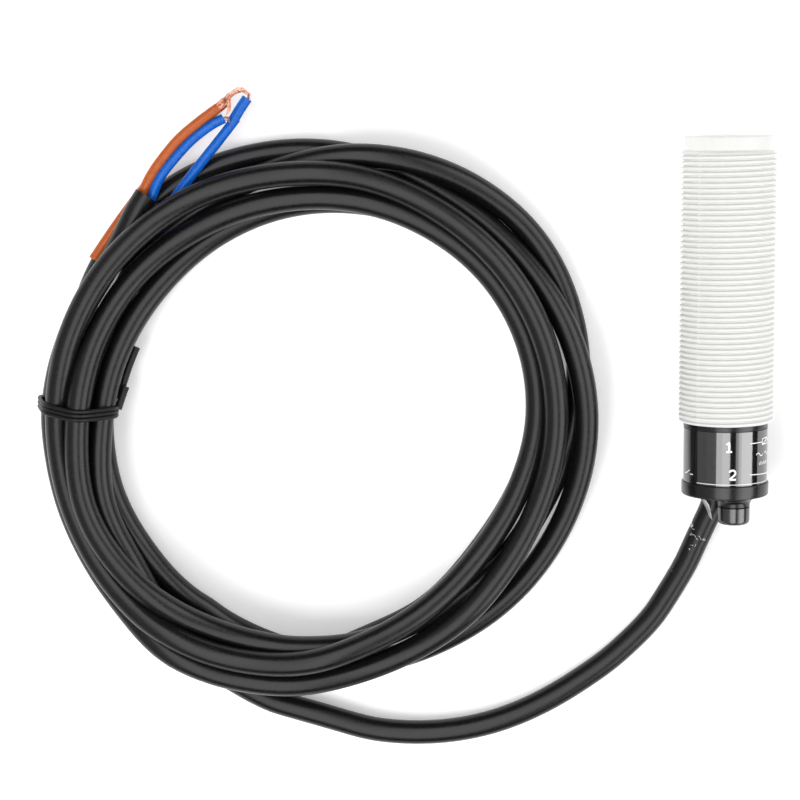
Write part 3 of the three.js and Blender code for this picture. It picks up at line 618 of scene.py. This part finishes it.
def barrel_mesh(around=96):
    """The columns run along the barrel and the thread's rows follow its helix, so that every crest
    and groove is a row."""
    seams = [parting + side * PARTING_WIDTH / THREAD_RADIUS
             for parting in PARTING_ANGLES for side in PARTING_COLUMNS]
    angles = sorted([-math.pi + 2 * math.pi * j / around for j in range(around + 1)] + seams)
    first = math.floor(BARREL_REAR_Y / PITCH) - 1
    last = math.ceil(THREAD_FRONT_Y / PITCH) + 1
    rows = []
    for turn in range(first, last + 1):
        for part in THREAD_ROWS:
            row = []
            for angle in angles:
                y = (turn + part + angle / (2 * math.pi)) * PITCH
                y = min(THREAD_FRONT_Y, max(BARREL_REAR_Y, y))
                row.append((thread_radius(y, angle), y))
            rows.append(row)
    inside = [(0, FRONT_Y - FRONT_WALL), (BORE_RADIUS, FRONT_Y - FRONT_WALL),
              (BORE_RADIUS, BARREL_REAR_Y)]
    collar = [(COLLAR_RADIUS, THREAD_FRONT_Y + 0.05 * MM),
              *rounded(COLLAR_RADIUS - COLLAR_CHAMFER, FRONT_Y - COLLAR_CHAMFER, COLLAR_CHAMFER,
                       0, 90),
              (0, FRONT_Y)]
    rows = [[spot] * len(angles) for spot in inside] + rows
    rows += [[spot] * len(angles) for spot in collar]
    points = [about_axis(angle, radius, y)
              for row in rows for (radius, y), angle in zip(row, angles)]
    return points, grid_faces(len(rows), len(angles), closed=False)


barrel = mesh_piece("barrel_moulding", *barrel_mesh(), white_plastic, slot="barrel_plastic")
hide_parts("barrel")

# ---------------------------------------------------------------- the rear cap
_, _, FLANGE_RADIUS, NECK_REAR_Y, CAP_FRONT_Y = round_part("rear_cap")
BOSS_X, BOSS_Z, BOSS_RADIUS, PLUG_REAR_Y, PLUG_FRONT_Y = round_part("adjuster_plug")
CABLE_X, CABLE_Z, BUSH_RADIUS, _, _ = round_part("cable_bush")
LENS_X, LENS_Z, LENS_RADIUS, LENS_REAR_Y, LENS_FRONT_Y = round_part("indicator_lens")
LIP_Y = BARREL_REAR_Y - 0.1 * MM
LIP_RADIUS = 8.02 * MM
LIP_LENGTH = 0.9 * MM
SEAT_RADIUS = 7.8 * MM      # of the cap under the film
FLANGE_FRONT_Y = -28.9 * MM
FLANGE_REAR_Y = -31.4 * MM
CAP_INNER_RADIUS = 6.35 * MM
SPIGOT_RADIUS = 7.15 * MM
INNER_WALL_Y = FLANGE_REAR_Y + 2 * MM
BOSS_FILLET = 1.8 * MM
BOSS_BORE_RADIUS = 1.85 * MM
EDGE = 0.15 * MM      # rounding of the moulded edges
FIT = 0.05 * MM       # gap round the bush and the window


def edge(radius, y, round_to=EDGE, upper=True):
    """A rounded outer edge at (radius, y): the front one where upper is true, or the rear one."""
    if upper:
        return rounded(radius - round_to, y - round_to, round_to, 0, 90, 4)
    return rounded(radius - round_to, y + round_to, round_to, -90, 0, 4)


cap_outline = [
    (FLANGE_RADIUS / 2, FLANGE_REAR_Y),
    *edge(FLANGE_RADIUS, FLANGE_REAR_Y, 2.2 * EDGE, upper=False),
    *edge(FLANGE_RADIUS, FLANGE_FRONT_Y), (SEAT_RADIUS, FLANGE_FRONT_Y),
    (SEAT_RADIUS, LIP_Y - LIP_LENGTH),
    *edge(LIP_RADIUS, LIP_Y - LIP_LENGTH, EDGE / 2, upper=False),
    *edge(LIP_RADIUS, LIP_Y, EDGE / 2), (SPIGOT_RADIUS, LIP_Y), (SPIGOT_RADIUS, CAP_FRONT_Y),
    (CAP_INNER_RADIUS, CAP_FRONT_Y), (CAP_INNER_RADIUS, INNER_WALL_Y),
    (FLANGE_RADIUS / 2, INNER_WALL_Y),
]
neck_outline = [
    (BOSS_RADIUS - EDGE, NECK_REAR_Y), (BOSS_RADIUS, NECK_REAR_Y + EDGE),
    *reversed(rounded(BOSS_RADIUS + BOSS_FILLET, FLANGE_REAR_Y - BOSS_FILLET, BOSS_FILLET,
                      90, 180, 12)),
    (BOSS_RADIUS + BOSS_FILLET, FLANGE_REAR_Y + 0.5 * MM),
]
cap = mesh_piece("cap_moulding", *turned(cap_outline, 0, AXIS_Z, 160), black_satin,
                 slot="cap_plastic")
cut(cap, "UNION", solid(turned(neck_outline, BOSS_X, BOSS_Z, 64), black_satin))
for radius, x, z in ((BOSS_BORE_RADIUS, BOSS_X, BOSS_Z), (BUSH_RADIUS + FIT, CABLE_X, CABLE_Z),
                     (LENS_RADIUS + FIT, LENS_X, LENS_Z)):
    bore = turned([(radius, NECK_REAR_Y - MM), (radius, INNER_WALL_Y + MM)], x, z, 48)
    cut(cap, "DIFFERENCE", solid(bore, black_satin))
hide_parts("rear_cap")

PLUG_END = 0.9 * MM     # rounding of the plug's end
PLUG_STEM_RADIUS = 1.65 * MM
HEAD_FRONT_Y = NECK_REAR_Y - 0.06 * MM
plug = mesh_piece("adjuster_cover_plug", *turned([
    *rounded(BOSS_RADIUS - PLUG_END, PLUG_REAR_Y + PLUG_END, PLUG_END, -90, 0, 8),
    *edge(BOSS_RADIUS, HEAD_FRONT_Y, EDGE / 2), (PLUG_STEM_RADIUS, HEAD_FRONT_Y),
    *edge(PLUG_STEM_RADIUS, PLUG_FRONT_Y, EDGE)], BOSS_X, BOSS_Z, 72),
    black_gloss, "plug", "cap_plastic")
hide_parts("adjuster_plug")

lens = mesh_piece("indicator_window", *turned([
    (LENS_RADIUS * 0.3, LENS_REAR_Y), (LENS_RADIUS * 0.75, LENS_REAR_Y + 0.07 * MM),
    (LENS_RADIUS, LENS_REAR_Y + 0.25 * MM), (LENS_RADIUS, LENS_FRONT_Y)], LENS_X, LENS_Z, 32),
    lens_red, slot="lens_red")
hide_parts("indicator_lens")

# ---------------------------------------------------------------- the rating label
_, _, LABEL_RADIUS, LABEL_REAR_Y, LABEL_FRONT_Y = round_part("rating_label")
FILM = 0.1 * MM
SEAM = -20.6            # degrees from the top, where the film's end lies over its start
OVERLAP = 0.03 * MM     # how much higher the film's end lies
FILM_STEP = 3           # degrees between the film's rows of points
STROKE_STEP = 0.35 * MM
INK_BOTTOM = LABEL_RADIUS + 0.02 * MM
INK_TOP = LABEL_RADIUS + 0.045 * MM


def film(name, start, end, material, lift=0.0):
    """A strip of the wrapped film between two angles in degrees, with its thickness."""
    steps = round(abs(end - start) / FILM_STEP)
    outer = LABEL_RADIUS + lift
    section = ((outer, LABEL_REAR_Y), (outer, LABEL_FRONT_Y),
               (outer - FILM, LABEL_FRONT_Y), (outer - FILM, LABEL_REAR_Y))
    points = [about_axis(math.radians(start + (end - start) * i / steps), radius, y)
              for i in range(steps + 1) for radius, y in section]
    return mesh_piece(name, points, capped_faces(steps + 1, len(section)), material,
                      slot="label_film")


label = film("label_front_half", SEAM, SEAM + 190, label_gloss, OVERLAP)
label_back = film("label_back_half", SEAM - 170, SEAM, label_dull)
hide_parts("rating_label")
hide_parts("rating_label")


def printed(strokes, width):
    """Printed lines on the label. Each stroke lists (degrees from the top, y in millimetres)."""
    parts = []
    for stroke in strokes:
        flat = even_points([(math.radians(a) * LABEL_RADIUS, y * MM) for a, y in stroke],
                           STROKE_STEP)
        way = np.gradient(flat, axis=0)
        way /= np.linalg.norm(way, axis=1)[:, None]
        side = np.column_stack([-way[:, 1], way[:, 0]]) * width / 2
        points = []
        for left, right in zip(flat + side, flat - side):
            for (around, y), radius in ((left, INK_TOP), (right, INK_TOP),
                                        (right, INK_BOTTOM), (left, INK_BOTTOM)):
                points.append(about_axis(around / LABEL_RADIUS, radius, y))
        last = (len(flat) - 1) * 4
        ends = [(0, 1, 2, 3), (last, last + 1, last + 2, last + 3)]
        parts.append((points, grid_faces(len(flat), 4) + ends))
    return parts


def ring_mark(angle, y, size):
    """A small circle on the label."""
    turns = [2 * math.pi * i / 16 for i in range(17)]
    around = math.degrees(size * MM / LABEL_RADIUS)
    return [(angle + around * math.cos(t), y + size * math.sin(t)) for t in turns]


DEGREE = math.degrees(MM / LABEL_RADIUS)    # degrees round the label in one millimetre


def mark(x, y, shape):
    """A drawing in millimetres, with its middle at x millimetres round the label from the top."""
    return [[((x + a) * DEGREE, y + b) for a, b in line] for line in shape]


ONE = [[(-0.45, 0.45), (0.1, 0.9), (0.1, -0.9)], [(-0.45, -0.9), (0.6, -0.9)]]
TWO = [[(-0.6, 0.5), (-0.35, 0.85), (0.3, 0.85), (0.6, 0.45), (0.5, 0.05), (-0.6, -0.9),
        (0.65, -0.9)]]
BOX = [[(-1.3, -0.55), (1.3, -0.55), (1.3, 0.55), (-1.3, 0.55), (-1.3, -0.55)],
       [(-1.3, -0.55), (1.3, 0.55)]]
WAVE = [[(t / 6 - 1, 0.35 * math.sin(t / 6 * math.pi)) for t in range(13)]]
SCALE = [[(0.5 * i, -0.35), (0.5 * i, 0.35 if i % 2 else 0.1)] for i in range(-4, 5)]
CONTACT = [[(-1.6, 0), (-0.7, 0), (0.6, 0.75)], [(0.7, 0), (1.6, 0)]]
HEAVY_LINE = 0.36 * MM
DOT_LINE = 0.26 * MM
FINE_LINE = 0.17 * MM
EDGE_LINE = 0.12 * MM
EDGE_LINE_Y = -28.42        # the line round the film's rear edge, in millimetres
heavy = [*mark(-0.55, -21.2, ONE), *mark(0.2, -26.5, TWO)]
fine = [[(27, -20.7), (51, -20.7)], [(70, -20.65), (92, -20.6)], [(27, -26.65), (92, -27.2)],
        *mark(8.4, -20.65, BOX), *mark(6.3, -23.0, WAVE), *mark(9.0, -23.0, WAVE),
        *mark(8.2, -24.7, SCALE), *mark(-9.6, -27.0, CONTACT)]
# Known fault: STROKE_STEP leaves three points of a ring this small, and the middle one has no
# direction. Its points come out as not a number, and validate() puts them at the origin, where
# the barrel hides them.
dots = [ring_mark(24, y, 0.12) for y in (-20.7, -26.6)]
print_parts = printed(heavy, HEAVY_LINE) + printed(fine, FINE_LINE) + printed(dots, DOT_LINE)
print_parts += printed([[(-50, EDGE_LINE_Y), (SEAM + 180, EDGE_LINE_Y)]], EDGE_LINE)
mesh_piece("label_print", *join_meshes(print_parts), print_white, slot="label_film")

# ---------------------------------------------------------------- glue and marks by the lead
bead_route = smooth_curve(np.array([
    (-4.5, -32.5, 8.4), (-3.9, -33.0, 8.9), (-3.4, -33.8, 9.1), (-3.0, -34.8, 8.9),
    (-2.7, -35.8, 8.6), (-2.3, -36.7, 8.2)]) * MM, 8)
BEAD_SIZES = [0.15, 0.36, 0.4, 0.3, 0.24, 0.1]     # half widths at the route's points, millimetres


def bead_section(fraction):
    """The bead's flattened section at a fraction of its length."""
    half = np.interp(fraction, np.linspace(0, 1, len(BEAD_SIZES)), BEAD_SIZES) * MM
    return oval(half, half * 0.7, 14)


mesh_piece("glue_bead", *swept(bead_route, bead_section), glue, slot="resin")

# (x, y, size) of each flake of dried glue, in millimetres
FLAKES = [(-5.7, -38.4, 0.32), (-5.9, -40.2, 0.36), (-5.1, -41.1, 0.3), (-3.7, -40.7, 0.36),
          (-5.7, -42.3, 0.34), (-9.3, -47.4, 0.12)]
THREADS_A_FLAKE = 4
THREAD_STEPS = 6


def flakes(x, y, size, seed):
    """Short curled threads of dried glue on the top of the lead, about a place in millimetres."""
    chance = random.Random(seed)
    threads = []
    for _ in range(THREADS_A_FLAKE):
        middle = np.array((x + chance.uniform(-0.4, 0.4), y + chance.uniform(-0.5, 0.5)))
        start, sweep = chance.uniform(0, 2 * math.pi), chance.uniform(1.2, 3.0)
        reach = size * chance.uniform(0.5, 1.2)
        thread = []
        for step in range(THREAD_STEPS + 1):
            turn = start + sweep * step / THREAD_STEPS
            spot = (middle + reach * np.array((math.cos(turn), 1.4 * math.sin(turn)))) * MM
            near = lead_path[np.argmin(np.hypot(*(lead_path[:, :2] - spot).T))]
            across = min(0.97, np.hypot(*(spot - near[:2])) / LEAD_RADIUS)
            thread.append((*spot, near[2] + LEAD_RADIUS * math.sqrt(1 - across ** 2)))
        threads.append(tube(thread, chance.uniform(0.02, 0.05) * MM, 6))
    return threads


threads = [thread for seed, place in enumerate(FLAKES) for thread in flakes(*place, seed)]
mesh_piece("dried_glue", *join_meshes(threads), print_white, slot="resin")

# ---------------------------------------------------------------- floor and lights
SPAN = 12.0
floor = bpy.data.objects.new("floor", bpy.data.meshes.new("floor"))
floor.data.from_pydata([(-SPAN, -SPAN, 0), (SPAN, -SPAN, 0), (SPAN, SPAN, 0), (-SPAN, SPAN, 0)], [],
                       [(0, 1, 2, 3)])
floor_paint = finish("floor_paint", (0.96, 0.96, 0.96), 0.9, 0.005, 40,
                     Emission_Color=(1, 1, 1, 1), Emission_Strength=0.2)
floor.data.materials.append(floor_paint)
bpy.context.collection.objects.link(floor)


def lamp(name, place, turn, size, radiance):
    """A soft-box of the given radiance that shines along its own -Z."""
    light = bpy.data.lights.new(name, "AREA")
    light.shape = "RECTANGLE"
    light.size, light.size_y = size
    light.energy = radiance * size[0] * size[1] * math.pi
    holder = bpy.data.objects.new(name, light)
    holder.location = place
    holder.rotation_euler = [math.radians(angle) for angle in turn]
    bpy.context.collection.objects.link(holder)
    return holder


# Strips of a curved reflector along the sensor, which only the gloss sees: each spans two angles
# from the vertical, in degrees, and has its own brightness.
REFLECTOR = [(-95, -60, 0.5), (-60, -33, 0.6), (-33, -16, 3.6), (-16, 4.6, 4.3), (20.4, 28, 1.8),
             (28, 36, 3.6), (36, 69, 4.8)]
REFLECTOR_DISTANCE = 0.6
REFLECTOR_LENGTH = 1.3
REFLECTOR_Y = -0.1
for start, end, radiance in REFLECTOR:
    middle = (start + end) / 2
    width = 2 * REFLECTOR_DISTANCE * math.tan(math.radians(end - start) / 2)
    place = (REFLECTOR_DISTANCE * math.sin(math.radians(middle)), REFLECTOR_Y,
             REFLECTOR_DISTANCE * math.cos(math.radians(middle)))
    strip = lamp(f"reflector_{start:.0f}", place, (0, middle, 0), (width, REFLECTOR_LENGTH),
                 radiance)
    strip.visible_diffuse = False

# a soft key light from the left throws the shadows to the right, and a fill without shadows lifts
# the sensor's right side
key = lamp("key", (-0.55, -0.35, 0.75), (20, -33, 0), (0.5, 0.5), 7.5)
key.visible_glossy = False
fill = lamp("fill", (1.0, 0, 0.35), (0, 71, 0), (0.5, 0.5), 5.5)
fill.visible_glossy = False
fill.data.use_shadow = False

world = bpy.data.worlds.new("world")
bpy.context.scene.world = world
world.use_nodes = True
world.node_tree.nodes["Background"].inputs["Color"].default_value = (1, 1, 1, 1)
world.node_tree.nodes["Background"].inputs["Strength"].default_value = 0.75
world.cycles_visibility.glossy = False
bpy.context.scene.view_settings.view_transform = "Standard"
